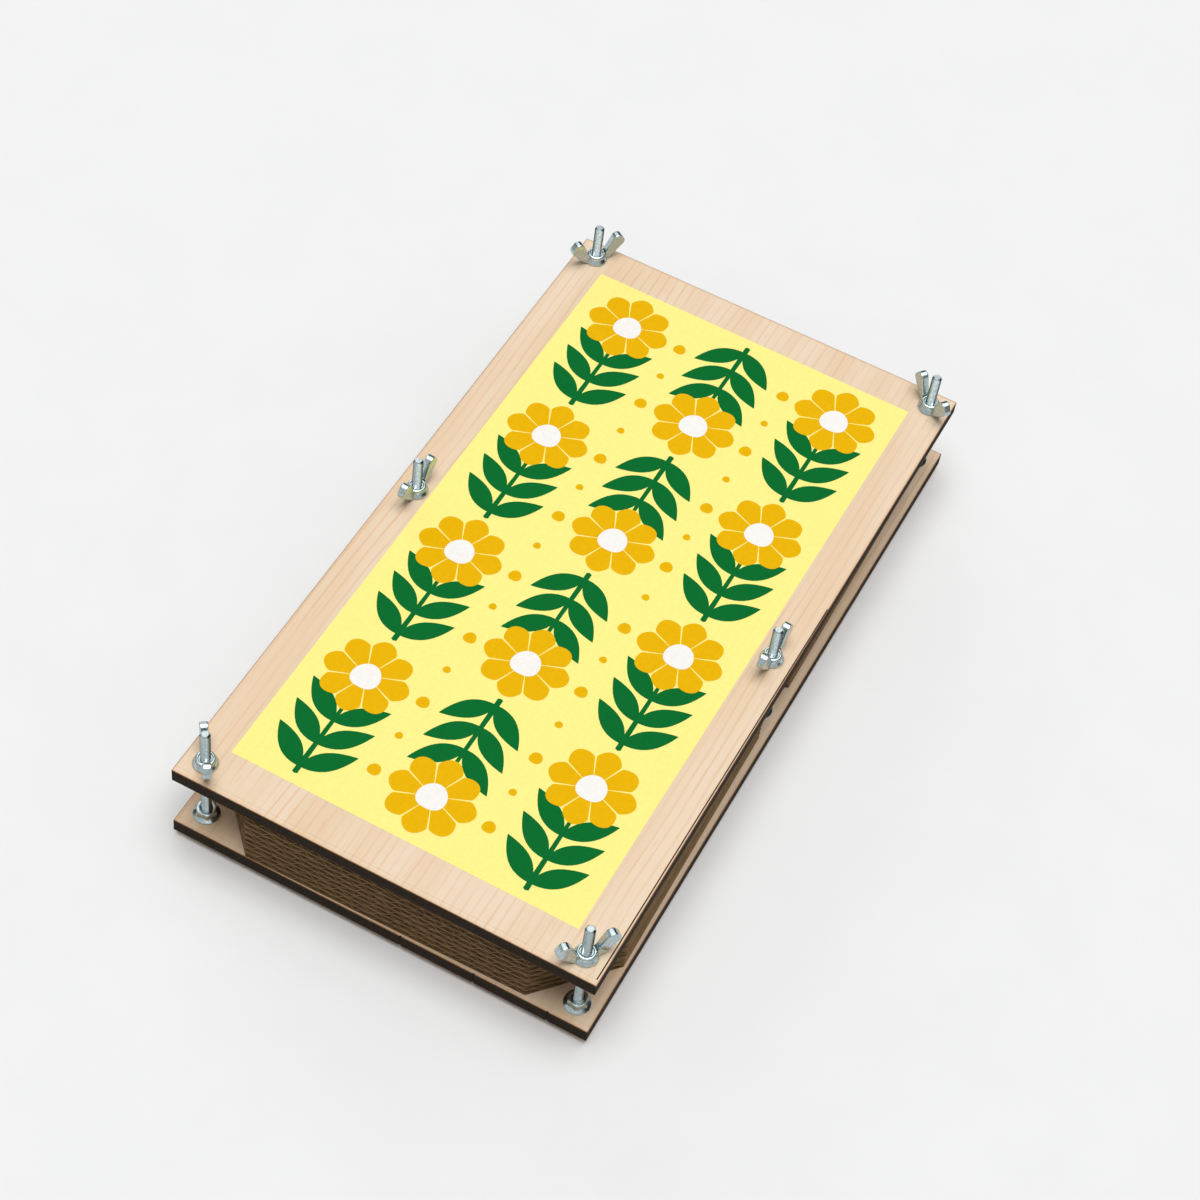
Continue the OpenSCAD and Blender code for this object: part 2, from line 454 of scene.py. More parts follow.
def makeFibreGroup():
    # short fibres lying across each other, as in paper
    tree, given, result = newGroup("paperFibres", [
        ("Vector", "Vector", None),
        ("Fibre Width", "Float", 0.3 * mm),
    ], [("Mask", "Float")])
    x, y, z = parts(tree, given["Vector"])
    short = maths(tree, "DIVIDE", 1.0, given["Fibre Width"])
    long = maths(tree, "MULTIPLY", short, 0.12)
    lying = together(tree, maths(tree, "MULTIPLY", x, long), maths(tree, "MULTIPLY", y, short), z)
    crossing = together(tree, maths(tree, "MULTIPLY", x, short), maths(tree, "MULTIPLY", y, long), z)
    mask = maths(tree, "MAXIMUM", noise(tree, lying, 1.0, 2.0), noise(tree, crossing, 1.0, 2.0))
    tree.links.new(stepped(tree, mask, 0.45, 0.75), result["Mask"])
    return tree


veneerGrain = makeGrainGroup()
laserRim = makeRimGroup()
mottle = makeMottleGroup()
paperFibres = makeFibreGroup()

# Materials

woodLook = {
    "pale": tint(227, 205, 179),
    "warm": tint(222, 196, 165),
    "brown": tint(208, 164, 118),
    "burnLine": tint(140, 98, 64),
    "burnHaze": tint(208, 168, 128),
    "charDark": tint(20, 16, 12),
    "charPale": tint(53, 41, 28),
    "charBrown": tint(98, 72, 46),
    "lineWidth": 0.25 * mm,
    "hazeWidth": 1.6 * mm,
    "scoreInset": 2.4 * mm,
    "hazeShare": 0.42,
    "scoreShare": 0.4,
    "scorchShare": 0.45,
    "charSpots": 1.1 * mm,
    "strokesPerMetre": (1500.0, 260.0),
    "pliesPerMetre": (30.0, 800.0),
    "rimBrown": 0.35 * mm,
    "rimBrownStart": -0.1 * mm,
    "rimRagged": -0.5 * mm,
}


def makeVeneer(board):
    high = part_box(board)[1]
    material, tree, shader, vector = newMaterial("mapleVeneer_" + board, Roughness=0.6)
    shader.inputs["Specular IOR Level"].default_value = 0.3
    grain = useGroup(tree, veneerGrain, {
        "Vector": vector, "Pale": woodLook["pale"], "Warm": woodLook["warm"], "Brown": woodLook["brown"],
    })
    rim = useGroup(tree, laserRim, {
        "Vector": vector, "Half Width": high.x, "Half Length": high.y,
        "Line": woodLook["lineWidth"], "Haze": woodLook["hazeWidth"], "Score": woodLook["scoreInset"],
    })
    haze = maths(tree, "MULTIPLY", rim["Haze"], woodLook["hazeShare"])
    score = maths(tree, "MULTIPLY", rim["Score"], woodLook["scoreShare"])
    colour = blended(tree, haze, grain["Color"], woodLook["burnHaze"])
    colour = blended(tree, score, colour, woodLook["burnLine"])
    colour = blended(tree, rim["Line"], colour, woodLook["burnLine"])
    tree.links.new(colour, shader.inputs["Base Color"])
    tree.links.new(stepped(tree, grain["Height"], 0.3, 0.7, 0.66, 0.52), shader.inputs["Roughness"])
    bump(tree, shader, grain["Height"], 0.03 * mm, 0.5)
    return material


def makeCharredPly(board):
    # laser-cut edge: near-black plies with fine upright strokes, browner at both rims
    low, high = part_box(board)
    material, tree, shader, vector = newMaterial("charredPly_" + board, Roughness=0.9)
    shader.inputs["Specular IOR Level"].default_value = 0.16
    x, y, z = parts(tree, vector)
    around = maths(tree, "ADD", x, y)

    def drawnOut(perMetre):
        sideways = maths(tree, "MULTIPLY", around, perMetre[0])
        return together(tree, sideways, 0.0, maths(tree, "MULTIPLY", z, perMetre[1]))

    strokes = noise(tree, drawnOut(woodLook["strokesPerMetre"]), 1.0)
    plies = noise(tree, drawnOut(woodLook["pliesPerMetre"]), 1.0, 1.0)
    specks = useGroup(tree, mottle, {
        "Vector": vector, "First": woodLook["charDark"], "Second": woodLook["charPale"],
        "Spot Size": woodLook["charSpots"], "Contrast": 0.6,
    })
    scorch = maths(tree, "MULTIPLY", stepped(tree, plies, 0.4, 0.7), stepped(tree, strokes, 0.35, 0.7))
    scorch = maths(tree, "MULTIPLY", scorch, woodLook["scorchShare"])
    colour = blended(tree, scorch, specks["Color"], woodLook["charPale"])
    fromRim = maths(tree, "MINIMUM", maths(tree, "SUBTRACT", z, low.z), maths(tree, "SUBTRACT", high.z, z))
    ragged = maths(tree, "ADD", fromRim, maths(tree, "MULTIPLY", strokes, woodLook["rimRagged"]))
    rim = useGroup(tree, laserRim, {
        "Vector": vector, "Half Width": high.x, "Half Length": high.y, "Haze": woodLook["hazeWidth"],
    })
    nearRim = stepped(tree, ragged, woodLook["rimBrownStart"], woodLook["rimBrown"], 0.85, 0.0)
    brown = maths(tree, "MULTIPLY", nearRim, rim["Haze"])
    tree.links.new(blended(tree, brown, colour, woodLook["charBrown"]), shader.inputs["Base Color"])
    bump(tree, shader, strokes, 0.08 * mm, 0.7)
    return material


printInk = {
    "yellow": tint(250, 235, 137),
    "green": tint(0, 102, 41),
    "gold": tint(228, 175, 0),
    "white": tint(240, 237, 232),
}


def makeInk(name, colour, roughness=0.5):
    # ink on veneer: nearly even, with the wood's grain just showing through
    material, tree, shader, vector = newMaterial(name + "Ink")
    shader.inputs["Specular IOR Level"].default_value = 0.05
    deeper = [part * 0.93 for part in colour[:3]] + [1]
    coat = useGroup(tree, mottle, {
        "Vector": vector, "First": colour, "Second": deeper, "Spot Size": 1.2 * mm, "Contrast": 0.3,
    })
    grain = useGroup(tree, veneerGrain, {
        "Vector": vector, "Pale": colour, "Warm": colour, "Brown": deeper,
    })
    tree.links.new(blended(tree, 0.5, coat["Color"], grain["Color"]), shader.inputs["Base Color"])
    tree.links.new(stepped(tree, coat["Mask"], 0.0, 1.0, roughness, roughness + 0.08),
                   shader.inputs["Roughness"])
    bump(tree, shader, grain["Height"], 0.02 * mm, 0.4)
    return material


zincLook = {
    "pale": tint(200, 212, 213),
    "dull": tint(170, 186, 189),
    "speck": tint(112, 132, 136),
    "roughness": 0.1,
    "roughSpots": 0.2,
    "spotSize": 0.8 * mm,
    "fineSize": 0.2 * mm,
    "fineShare": 0.25,
}


def makeZinc():
    # bright zinc plating with a cool tint, duller in small spots
    material, tree, shader, vector = newMaterial("platedZinc", Metallic=0.95)
    plating = useGroup(tree, mottle, {
        "Vector": vector, "First": zincLook["pale"], "Second": zincLook["dull"],
        "Spot Size": zincLook["spotSize"], "Contrast": 0.45,
    })
    fine = useGroup(tree, mottle, {
        "Vector": vector, "First": plating["Color"], "Second": zincLook["speck"],
        "Spot Size": zincLook["fineSize"], "Contrast": 0.3,
    })
    colour = blended(tree, zincLook["fineShare"], plating["Color"], fine["Color"])
    tree.links.new(colour, shader.inputs["Base Color"])
    tree.links.new(stepped(tree, plating["Mask"], 0.0, 1.0, zincLook["roughness"], zincLook["roughSpots"]),
                   shader.inputs["Roughness"])
    bump(tree, shader, fine["Mask"], 0.005 * mm, 0.3)
    return material


paperLook = {
    "kraft": tint(168, 134, 96),
    "kraftDark": tint(140, 108, 74),
    "cut": tint(150, 122, 82),
    "cutDark": tint(108, 83, 52),
    # inside and its darker twin: the flutes' inner faces, painted darker than the outer liner as painted
    # shade within each card
    "inside": tint(138, 108, 69),
    "insideDark": tint(102, 77, 45),
    "blotting": tint(238, 234, 224),
    "blottingGrey": tint(222, 217, 205),
}


def makePaper(name, colour, deeper, spotSize, fibreWidth, fibreShare=0.35, depth=0.03 * mm):
    material, tree, shader, vector = newMaterial(name, Roughness=0.9)
    spots = useGroup(tree, mottle, {
        "Vector": vector, "First": colour, "Second": deeper, "Spot Size": spotSize, "Contrast": 0.6,
    })
    fibres = useGroup(tree, paperFibres, {"Vector": vector, "Fibre Width": fibreWidth})
    share = maths(tree, "MULTIPLY", fibres["Mask"], fibreShare)
    tree.links.new(blended(tree, share, spots["Color"], deeper), shader.inputs["Base Color"])
    bump(tree, shader, fibres["Mask"], depth, 0.5)
    return material


platedZinc = makeZinc()
kraft = makePaper("kraftLiner", paperLook["kraft"], paperLook["kraftDark"], 6 * mm, 0.25 * mm)
cutKraft = makePaper("cutKraft", paperLook["cut"], paperLook["cutDark"], 1.5 * mm, 0.3 * mm)
# painted shade: the faces inside each card get a darker kraft than its outer liner, standing in for the
# shade inside the flutes
smokedKraft = makePaper("smokedKraft", paperLook["inside"], paperLook["insideDark"], 5 * mm, 0.3 * mm)
blottingPaper = makePaper(
    "blottingPaper", paperLook["blotting"], paperLook["blottingGrey"], 4 * mm, 0.2 * mm, 0.5
)
print("materials made")

# Boards: laser-cut plywood with one long engraved line beside the top board's right edge

boardCut = {
    "holeRadius": 2.25 * mm,
    "overrun": 1 * mm,
    "edgeRound": 0.12 * mm,
    "grooveStart": Vector((82.4, -152.6)) * mm,
    "grooveEnd": Vector((83.05, 32.0)) * mm,
    "grooveWidth": 0.48 * mm,
    "nicks": [9.5 * mm, 38.7 * mm, 67.9 * mm],
    "nickRadius": 0.45 * mm,
}


def makeBoard(node, body, name, nicks=()):
    low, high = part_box(node)
    board = slab(name, (low + high) / 2, high - low)
    depth = high.z - low.z + 2 * boardCut["overrun"]
    drill = turned("drill", [(boardCut["holeRadius"], 0), (boardCut["holeRadius"], depth)], 48)
    for spot in places:
        axis = boltAxis(spot)
        bit = copied(drill, "bit", (axis.x, axis.y, low.z - boardCut["overrun"]))
        combine(board, bit, "DIFFERENCE")
    bpy.data.objects.remove(drill, do_unlink=True)
    if nicks:
        cutter = turned("nick", [(boardCut["nickRadius"], 0), (boardCut["nickRadius"], depth)], 16)
        for x in nicks:
            combine(board, copied(cutter, "bit", (x, low.y, low.z - boardCut["overrun"])), "DIFFERENCE")
        bpy.data.objects.remove(cutter, do_unlink=True)
    softenEdges(board, boardCut["edgeRound"])
    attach(board, body)
    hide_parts(node)
    return board


def engrave(board, start, end, width):
    # a thin square bar turned on its edge cuts a V groove
    top = max(corner.co.z for corner in board.data.vertices)
    run = end - start
    cutter = slab("engraver", (0, 0, 0), (width / math.sqrt(2), run.length, width / math.sqrt(2)))
    cutter.rotation_euler = (0, math.radians(45), 0)
    settle(cutter)
    cutter.rotation_euler = (0, 0, math.atan2(-run.x, run.y))
    middle = (start + end) / 2
    cutter.location = (middle.x, middle.y, top)
    settle(cutter)
    combine(board, cutter, "DIFFERENCE")


bottomBoard = makeBoard("bottom_board", "base", "bottomBoard", boardCut["nicks"])
topBoard = makeBoard("top_board", "press_plate", "topBoard")
engrave(topBoard, boardCut["grooveStart"], boardCut["grooveEnd"], boardCut["grooveWidth"])
for board, node in ((bottomBoard, "bottom_board"), (topBoard, "top_board")):
    giveMaterials(board, makeVeneer(node), makeCharredPly(node), 0.9)
print("boards cut")

# Bolts: threaded over their whole length, with a hexagon head

boltBuild = {
    "pitch": 0.7 * mm,
    "crestRadius": 1.95 * mm,
    "rootRadius": 1.7 * mm,
    "rootFlat": 0.12 * mm,
    "crestFlat": 0.16 * mm,
    "stepsPerTurn": 20,
    "tipRadius": 1.25 * mm,
    "tipBevel": 0.7 * mm,
    "headFlats": 7 * mm,
    "headHeight": 2.8 * mm,
    "headChamfer": 0.45 * mm,
    "headRound": 0.08 * mm,
    "buriedTurns": 3,
    "spareTurns": 2,
}
chamferShare = 0.97     # how far in a hexagon's chamfer reaches, as a share of its flats


def hexagon(name, flats, low, high, chamferLow, chamferHigh):
    # a hexagon bar trimmed by a turned blank, which rounds off its corners
    flatRadius = flats / 2
    cornerRadius = flatRadius / math.cos(math.radians(30))
    bar = turned(name, [(cornerRadius, low), (cornerRadius, high)], 6)
    bar.rotation_euler = (0, 0, math.radians(30))
    settle(bar)
    innerRadius = flatRadius * chamferShare
    spare = 0.1 * mm
    reach = cornerRadius + spare
    slope = (reach - innerRadius) / (cornerRadius - innerRadius)
    blank = turned("blank", [
        (innerRadius, low - spare * (chamferLow == 0)),
        (reach, low + chamferLow * slope - spare * (chamferLow == 0)),
        (reach, high - chamferHigh * slope + spare * (chamferHigh == 0)),
        (innerRadius, high + spare * (chamferHigh == 0)),
    ], 96)
    combine(bar, blank, "INTERSECT")
    return bar


def makeBolt():
    build = boltBuild
    low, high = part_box("bolt_" + places[0])
    pitch, crest, root = build["pitch"], build["crestRadius"], build["rootRadius"]
    flank = (pitch - build["rootFlat"] - build["crestFlat"]) / 2
    start = low.z + build["headHeight"] - build["buriedTurns"] * pitch
    heights = [0, build["rootFlat"], build["rootFlat"] + flank, pitch - flank, pitch]
    radii = [root, root, crest, crest, root]
    shank = drawn("shank", [(radius, 0, start + rise) for radius, rise in zip(radii, heights)])
    useModifier(
        shank, "SCREW", axis="Z", angle=2 * math.pi, screw_offset=pitch,
        iterations=math.ceil((high.z - start) / pitch) + build["spareTurns"],
        steps=build["stepsPerTurn"], render_steps=build["stepsPerTurn"],
    )
    tidyMesh(shank)
    for level, upward in ((low.z + build["headHeight"] / 2, False), (high.z, True)):
        edit(shank)
        bpy.ops.mesh.select_all(action="SELECT")
        bpy.ops.mesh.bisect(
            plane_co=(0, 0, level), plane_no=(0, 0, 1), use_fill=True,
            clear_outer=upward, clear_inner=not upward, threshold=weld,
        )
        leaveEdit()
    tidyMesh(shank)
    tip, bevel = build["tipRadius"], build["tipBevel"]
    spare = pitch / 2
    envelope = turned("envelope", [
        (crest + spare, low.z), (crest + spare, high.z - bevel - spare),
        (tip, high.z), (tip, high.z + pitch),
    ], 48)
    combine(shank, envelope, "INTERSECT")
    head = hexagon("head", build["headFlats"], low.z, low.z + build["headHeight"], build["headChamfer"], 0)
    softenEdges(head, build["headRound"], 2, 50)
    combine(shank, head, "UNION")
    tidyMesh(shank)
    smooth(shank, 28)
    return shank


def standAtBolts(pattern, title, nodePrefix, bodyOf, turns=None):
    # one copy of the pattern at each bolt, each with its own mesh
    for spot in places:
        axis = boltAxis(spot)
        twin = copied(pattern, title + "_" + spot, (axis.x, axis.y, 0), turns[spot] if turns else 0)
        giveMaterials(twin, platedZinc)
        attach(twin, bodyOf(spot))
        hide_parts(nodePrefix + spot)
    bpy.data.objects.remove(pattern, do_unlink=True)


standAtBolts(makeBolt(), "bolt", "bolt_", lambda spot: "base")
print("bolts threaded")

# How far each nut happens to stand turned, in degrees from X
nutTurns = {
    "front_left": 126, "front_right": 50, "middle_left": 87,
    "middle_right": 87, "back_left": 53, "back_right": -37,
}

flangeNut = {
    "flats": 7 * mm,
    "chamfer": 0.5 * mm,
    "flangeRadius": 5 * mm,
    "rimHeight": 0.7 * mm,
    "slopeTop": 1.5 * mm,
    "rimRound": 0.25 * mm,
    "boreRadius": 2.02 * mm,
    "sinkRadius": 2.45 * mm,
    "sinkDepth": 0.4 * mm,
    "edgeRound": 0.1 * mm,
}


def makeFlangeNut():
    build = flangeNut
    low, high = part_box("flange_nut_" + places[0])
    rim, soft = build["flangeRadius"], build["rimRound"]
    nut = turned("flangeNut", [
        (rim - soft, low.z), (rim, low.z + soft / 2), (rim, low.z + build["rimHeight"] - soft),
        (rim - soft, low.z + build["rimHeight"]), (build["flats"] / 2, low.z + build["slopeTop"]),
    ], 72)
    combine(nut, hexagon("nutBody", build["flats"], low.z + soft, high.z, 0, build["chamfer"]), "UNION")
    bore, sink, depth = build["boreRadius"], build["sinkRadius"], build["sinkDepth"]
    drill = turned("drill", [
        (bore, low.z - mm), (bore, high.z - depth), (sink, high.z), (sink, high.z + mm),
    ], 48)
    combine(nut, drill, "DIFFERENCE")
    softenEdges(nut, build["edgeRound"], 2, 25)
    tidyMesh(nut)
    smooth(nut, 35)
    return nut


standAtBolts(makeFlangeNut(), "flangeNut", "flange_nut_", lambda spot: "base", nutTurns)
print("flange nuts placed")

# Wing nuts: cold-forged, so hub and wings run softly into each other

wingNut = {
    "hubRadius": 4.65 * mm,
    "hubFoot": 0.8 * mm,
    "collarRadius": 3.6 * mm,
    "collarFoot": 2.4 * mm,
    "hubHeight": 3.7 * mm,
    "collarGap": 0.3 * mm,
    "collarRound": 0.7 * mm,
    "boreRadius": 2.02 * mm,
    "sinkRadius": 2.45 * mm,
    "sinkDepth": 0.5 * mm,
    "span": 23.5 * mm,
    "height": 11.6 * mm,
    "thickness": 3.1 * mm,
    "endWidth": 6.0 * mm,
    "cornerRadius": 2.2 * mm,
    "footHeight": 0.9 * mm,
    "outerSlope": 47,
    "innerSlope": 65,
    "endLean": 34,
    "edgeRound": 0.4 * mm,
    "voxel": 0.16 * mm,
    "smoothing": 5,
}


def arc(middle, radius, fromAngle, toAngle, steps=10):
    angles = [math.radians(fromAngle + (toAngle - fromAngle) * k / steps) for k in range(steps + 1)]
    return [(middle[0] + radius * math.cos(a), middle[1] + radius * math.sin(a)) for a in angles]


def wingOutline():
    build = wingNut
    radius, lean = build["cornerRadius"], math.radians(build["endLean"])
    run = build["endWidth"] - 2 * radius
    lowCorner = (build["span"] / 2 - radius, build["height"] - radius - run * math.cos(lean))
    topCorner = (lowCorner[0] - run * math.sin(lean), build["height"] - radius)
    lowArc = arc(lowCorner, radius, build["outerSlope"] - 90, build["endLean"])
    topArc = arc(topCorner, radius, build["endLean"], build["innerSlope"] + 90)
    outerFall = (lowArc[0][1] - build["footHeight"]) / math.tan(math.radians(build["outerSlope"]))
    innerFall = (topArc[-1][1] - build["hubHeight"]) / math.tan(math.radians(build["innerSlope"]))
    inside = build["boreRadius"]
    return [
        (inside, 0), (build["hubRadius"], 0), (lowArc[0][0] - outerFall, build["footHeight"]),
        *lowArc, *topArc,
        (topArc[-1][0] - innerFall, build["hubHeight"]), (inside, build["hubHeight"]),
    ]


def makeWingNut():
    build = wingNut
    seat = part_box("wing_nut_" + places[0])[0].z
    thick = build["thickness"]
    outline = [(x, -thick / 2, seat + z) for x, z in wingOutline()]
    wing = raisedOutline("wing", outline, (0, thick, 0))
    softenEdges(wing, build["edgeRound"], 3, 60)
    other = copied(wing, "otherWing", turn=180)
    nut = turned("wingNut", [
        (build["hubRadius"], seat), (build["hubRadius"], seat + build["hubFoot"]),
        (build["collarRadius"], seat + build["collarFoot"]),
        (build["collarRadius"], seat + build["hubHeight"]),
    ], 72)
    combine(nut, wing, "UNION")
    combine(nut, other, "UNION")
    useModifier(nut, "REMESH", mode="VOXEL", voxel_size=build["voxel"])
    useModifier(nut, "SMOOTH", factor=0.5, iterations=build["smoothing"])
    bore, sink, depth = build["boreRadius"], build["sinkRadius"], build["sinkDepth"]
    rim = seat + build["hubHeight"]
    drill = turned("drill", [
        (bore, seat - mm), (bore, rim - depth), *arc((sink + depth, rim - depth), depth, 180, 90, 5),
        (sink + depth, rim + mm),
    ], 64)
    combine(nut, drill, "DIFFERENCE")
    # a narrow groove sets the round-topped collar off from the cone and the wings
    collar, gap, groove = build["collarRadius"], build["collarGap"], seat + build["collarFoot"]
    soft = build["collarRound"]
    ring = turned("groove", [
        (collar, groove - gap / 2), (collar + gap / 2, groove), (collar + gap, rim + mm),
        (collar - soft, rim + mm), *arc((collar - soft, rim - soft), soft, 90, 0, 5),
        (collar - gap / 3, groove + gap / 3),
    ], 64, hollow=True)
    combine(nut, ring, "DIFFERENCE")
    smooth(nut, 40)
    return nut


standAtBolts(makeWingNut(), "wingNut", "wing_nut_", lambda spot: "nut_" + spot, nutTurns)
print("wing nuts placed")

# Corrugated cards: two liners glued to a fluted sheet, cut to the CAD outline

cardBuild = {
    "liner": 0.24 * mm,
    "sheet": 0.24 * mm,
    "flutePitch": 6.6 * mm,
    "stepsPerFlute": 16,
    "steepness": 1.9,
    "glueDepth": 0.02 * mm,
    "stackTurn": 0.8,
    "overrun": 4 * mm,
    "seed": 11,
}
cards = sorted(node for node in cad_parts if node.startswith("card_"))
dice = random.Random(cardBuild["seed"])


def makeFlutes(low, high, shift):
    build = cardBuild
    middle, size = (low + high) / 2, high - low
    flutes = math.ceil((size.x + 2 * build["overrun"]) / build["flutePitch"])
    width = flutes * build["flutePitch"]
    deselectAll()
    bpy.ops.mesh.primitive_grid_add(
        x_subdivisions=flutes * build["stepsPerFlute"], y_subdivisions=1, size=1,
        location=middle, scale=(width, size.y + 2 * build["overrun"], 1),
    )
    sheet = named("flutes")
    settle(sheet)
    swing = (size.z - 2 * build["liner"] - build["sheet"]) / 2 + build["glueDepth"]
    steepness = build["steepness"]
    for corner in sheet.data.vertices:
        phase = 2 * math.pi * ((corner.co.x - middle.x) / build["flutePitch"] + shift)
        corner.co.z += swing * math.tanh(steepness * math.sin(phase)) / math.tanh(steepness)
    useModifier(sheet, "SOLIDIFY", thickness=build["sheet"], offset=0, use_even_offset=True)
    sheet.rotation_euler = (0, 0, math.radians(build["stackTurn"]))
    settle(sheet)
    return sheet


def makeCard(node):
    low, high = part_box(node)
    drop = high.z - low.z - cardBuild["liner"]
    under = nodeSolid(node, "underLiner")
    over = copied(under, "overLiner")
    flutes = makeFlutes(low, high, dice.random())
    combine(flutes, copied(under, "outline"), "INTERSECT")
    for liner, side in ((under, 1), (over, -1)):
        pickFaces(liner, lambda middle, normal: normal.z * side > 0.9)
        bpy.ops.transform.translate(value=(0, 0, -side * drop))
        leaveEdit()
    card = joined([flutes, under, over], node.replace("card_", "corrugatedCard_"))
    smooth(card, 30)
    hollow = (low.z + cardBuild["liner"] / 2, high.z - cardBuild["liner"] / 2)
    # inner faces between the liners take the darker kraft, which is painted shade inside the card
    giveMaterials(card, kraft, cutKraft, 0.3, smokedKraft,
                  lambda middle, normal: hollow[0] < middle.z < hollow[1])
    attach(card, "leaf_" + node[len("card_"):])
    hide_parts(node)


for node in cards:
    makeCard(node)
print("cards fluted")

for node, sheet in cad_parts.items():
    if node.startswith("blotting_paper_"):
        for slot in sheet.material_slots:
            slot.material = blottingPaper

# Print: a plain daisy-and-berry repeat on a yellow panel, each ink a thin layer

printLayout = {
    "panel": Vector((138, 278)) * mm,
    "offset": Vector((-0.5, 0.9)) * mm,
    "turn": -0.2,
    "panelInk": 0.04 * mm,
    "berryInk": 0.06 * mm,
    "leafInk": 0.07 * mm,
    "stemInk": 0.08 * mm,
    "petalInk": 0.09 * mm,
    "heartInk": 0.11 * mm,
    "columns": 46 * mm,
    "rows": 4,
    "rowStep": 68 * mm,
    "footShare": 0.485,
    "flowerShare": 0.49,
    "stemLength": 49 * mm,
    "stemWidth": 2.2 * mm,
    "leafLength": 21 * mm,
    "leafWidth": 8 * mm,
    "leafShares": [0.07, 0.3, 0.53],
    "leafLean": 50,
    "petals": 8,
    "petalLength": 12.5 * mm,
    "petalWidth": 11 * mm,
    "petalStart": 4.6 * mm,
    "petalGap": 0.07,
    "heartRadius": 5.6 * mm,
    "berryRadii": [2.5 * mm, 1.5 * mm],
    "berryStep": 17 * mm,
    "berryCount": 15,
}
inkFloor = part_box("top_board")[1].z


def inkShape(name, halfWidthAt, length, width, thickness, start=0.0, corners=32):
    # a disc drawn out along +Y, with its half width at each share of its length
    deselectAll()
    bpy.ops.mesh.primitive_circle_add(vertices=corners, radius=1, fill_type="NGON")
    shape = named(name)
    for corner in shape.data.vertices:
        share = (1 + corner.co.y) / 2
        side = math.copysign(1, corner.co.x) if abs(corner.co.x) > 1e-6 else 0
        corner.co.x = side * width / 2 * halfWidthAt(share)
        corner.co.y = start + length * share
        corner.co.z = inkFloor
    edit(shape)
    bpy.ops.mesh.select_all(action="SELECT")
    bpy.ops.mesh.extrude_region_move(TRANSFORM_OT_translate={"value": (0, 0, thickness)})
    leaveEdit()
    settle(shape)
    tidyMesh(shape)
    return shape


def moved(shape, at):
    shape.location = (at[0], at[1], 0)
    settle(shape)
    return shape


def almond(share):
    return math.sin(math.pi * share ** 0.85) ** 0.9 if 0 < share < 1 else 0


def rounded(share):
    return math.sqrt(max(0.0, 1 - (2 * share ** 0.8 - 1) ** 2))


def makeSprig():
    # a stem on the origin, from the sprig's foot to its flower, with paired leaves
    look = printLayout
    leaf = inkShape("leaf", almond, look["leafLength"], look["leafWidth"], look["leafInk"])
    stem = inkShape("stem", lambda share: 1 - 0.5 * share if 0 < share < 1 else 0.5,
                    look["stemLength"], look["stemWidth"], look["stemInk"])
    pieces = [stem]
    for share in look["leafShares"]:
        at = (0, look["stemLength"] * share, 0)
        pieces += [copied(leaf, "leaf", at, side * look["leafLean"]) for side in (-1, 1)]
    bpy.data.objects.remove(leaf, do_unlink=True)
    return joined(pieces, "sprig")


def petalHalf(share):
    # round, but narrow enough near the heart to leave a gap to the next petal
    look = printLayout
    radius = look["petalStart"] + look["petalLength"] * share
    wedge = radius * math.tan(math.pi / look["petals"]) * (1 - look["petalGap"])
    return min(rounded(share), wedge / (look["petalWidth"] / 2))


def makePetals():
    look = printLayout
    petal = inkShape("petal", petalHalf, look["petalLength"], look["petalWidth"], look["petalInk"],
                     look["petalStart"], 48)
    pieces = [copied(petal, "petal", turn=360 * k / look["petals"]) for k in range(look["petals"])]
    bpy.data.objects.remove(petal, do_unlink=True)
    return joined(pieces, "petals")


def makeSpot(name, radius, thickness, corners=32):
    return inkShape(name, rounded, 2 * radius, 2 * radius, thickness, -radius, corners)


def makeBerries():
    # a line of large and small berries between each two columns
    look = printLayout
    berries = []
    for column in (-0.5, 0.5):
        for k in range(look["berryCount"]):
            spot = makeSpot("berry", look["berryRadii"][k % 2], look["berryInk"], 24)
            y = (k - (look["berryCount"] - 1) / 2) * look["berryStep"]
            berries.append(moved(spot, (column * look["columns"], y)))
    return berries


def sprigPlaces():
    # the outer columns point up and the middle one down
    look = printLayout
    rows = [(row - (look["rows"] - 1) / 2) * look["rowStep"] for row in range(look["rows"])]
    return [(column * look["columns"], y, 0 if column else 180) for column in (-1, 0, 1) for y in rows]


def makePrint():
    look = printLayout
    panel = slab("panel", (0, 0, inkFloor + look["panelInk"] / 2),
                 (look["panel"].x, look["panel"].y, look["panelInk"]))
    sprig, petals = makeSprig(), makePetals()
    heart = makeSpot("heart", look["heartRadius"], look["heartInk"], 48)
    layers = {"Berries": makeBerries(), "Leaves": [], "Petals": [], "Hearts": []}
    reach = look["petalStart"] + look["petalLength"]
    for x, y, turn in sprigPlaces():
        up = -1 if turn else 1
        foot = (x, y - up * look["rowStep"] * look["footShare"], 0)
        flower = (x, y + up * (look["rowStep"] * look["flowerShare"] - reach), 0)
        layers["Leaves"].append(copied(sprig, "sprigCopy", foot, turn))
        layers["Petals"].append(copied(petals, "petalsCopy", flower, turn))
        layers["Hearts"].append(copied(heart, "heartCopy", flower))
    for pattern in (sprig, petals, heart):
        bpy.data.objects.remove(pattern, do_unlink=True)
    inks = {"Berries": "gold", "Leaves": "green", "Petals": "gold", "Hearts": "white"}
    printed = [(panel, "Panel", "yellow")]
    printed += [(joined(pieces, layer), layer, inks[layer]) for layer, pieces in layers.items()]
    materials = {ink: makeInk(ink, colour) for ink, colour in printInk.items()}
    for piece, layer, ink in printed:
        piece.name = "print" + layer
        piece.rotation_euler = (0, 0, math.radians(look["turn"]))
        piece.location = (look["offset"].x, look["offset"].y, 0)
        settle(piece)
        giveMaterials(piece, materials[ink])
        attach(piece, "press_plate")


makePrint()
print("panel printed")

# Studio: a pale floor, a weak even sky, one wide light overhead and two weak ones from behind

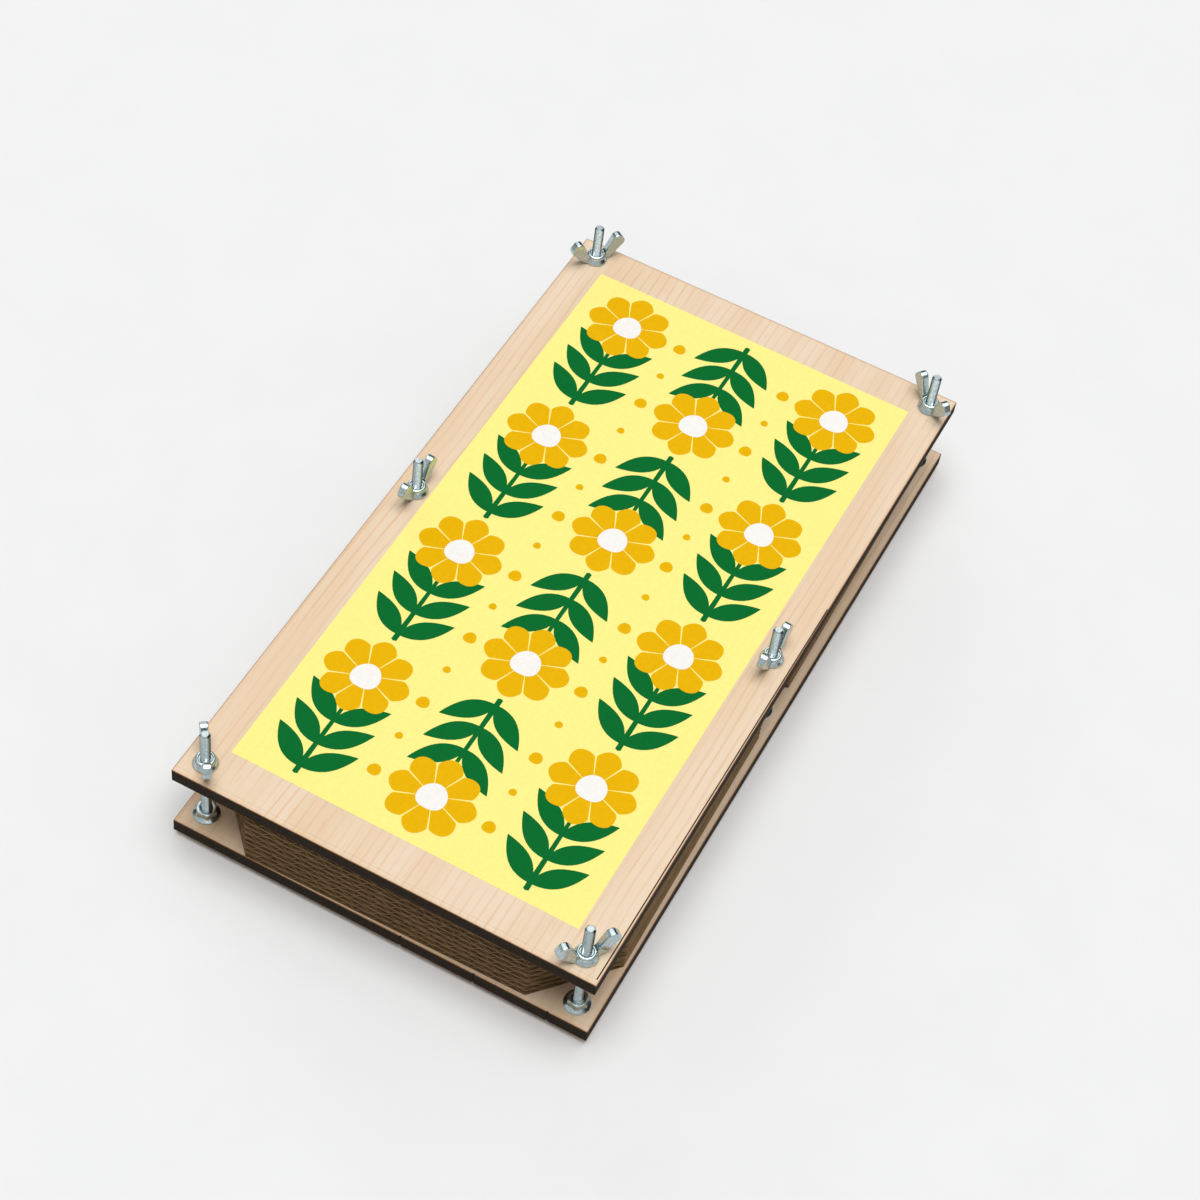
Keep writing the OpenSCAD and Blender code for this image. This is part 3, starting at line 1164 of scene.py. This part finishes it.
studio = {
    "floorSize": 16.0,
    "floor": (0.80, 0.80, 0.80, 1),
    "floorSpot": (0.79, 0.79, 0.79, 1),
    "floorSpots": 50 * mm,
    "sky": 0.26,
    "skyColour": (0.98, 0.99, 1.0, 1),
    "brightAbove": (0.55, 0.8),
    "brightBefore": (-0.5, 0.1),
    "mirroredLow": 0.02,
    "mirroredFront": 0.7,
    "mirroredHigh": 1.6,
    "lights": {
        "overheadLight": {"toward": Vector((0.03, -0.03, 1)), "strength": 2.38, "softness": 46},
        "windowLight": {"toward": Vector((-0.67, 0.67, 0.31)), "strength": 0.37, "softness": 30},
        "backLight": {"toward": Vector((0.21, 0.37, 0.91)), "strength": 0.28, "softness": 40},
    },
}


def makeFloor():
    deselectAll()
    bpy.ops.mesh.primitive_plane_add(size=studio["floorSize"])
    floor = named("studioFloor")
    material, tree, shader, vector = newMaterial("studioPaper", Roughness=1.0)
    shader.inputs["Specular IOR Level"].default_value = 0.0
    spots = useGroup(tree, mottle, {
        "Vector": vector, "First": studio["floor"], "Second": studio["floorSpot"],
        "Spot Size": studio["floorSpots"], "Contrast": 0.3,
    })
    tree.links.new(spots["Color"], shader.inputs["Base Color"])
    floor.data.materials.append(material)


def makeSky():
    # reflections see a sky of their own: bright above and in front, dark low down behind
    world = bpy.data.worlds.new("studioSky")
    bpy.context.scene.world = world
    world.use_nodes = True
    tree = world.node_tree
    direction = tree.nodes.new("ShaderNodeTexCoord").outputs["Generated"]
    y, z = parts(tree, direction)[1:]
    above = stepped(tree, z, *studio["brightAbove"], studio["mirroredLow"], studio["mirroredHigh"])
    before = stepped(tree, y, *studio["brightBefore"], studio["mirroredFront"], studio["mirroredLow"])
    mirrored = maths(tree, "MAXIMUM", above, before)
    isGlossy = tree.nodes.new("ShaderNodeLightPath").outputs["Is Glossy Ray"]
    strength = wire(tree, "Mix", {0: isGlossy, 2: studio["sky"], 3: mirrored}).outputs[0]
    sky = tree.nodes["Background"]
    tree.links.new(strength, sky.inputs["Strength"])
    sky.inputs["Color"].default_value = studio["skyColour"]


def makeLights():
    for name, light in studio["lights"].items():
        deselectAll()
        bpy.ops.object.light_add(type="SUN")
        sun = bpy.context.object
        sun.name = name
        sun.data.energy = light["strength"]
        sun.data.angle = math.radians(light["softness"])
        sun.rotation_euler = light["toward"].to_track_quat("Z", "Y").to_euler()


makeFloor()
makeSky()
makeLights()
scene = bpy.context.scene
scene.view_settings.view_transform = "Standard"
print("studio lit")
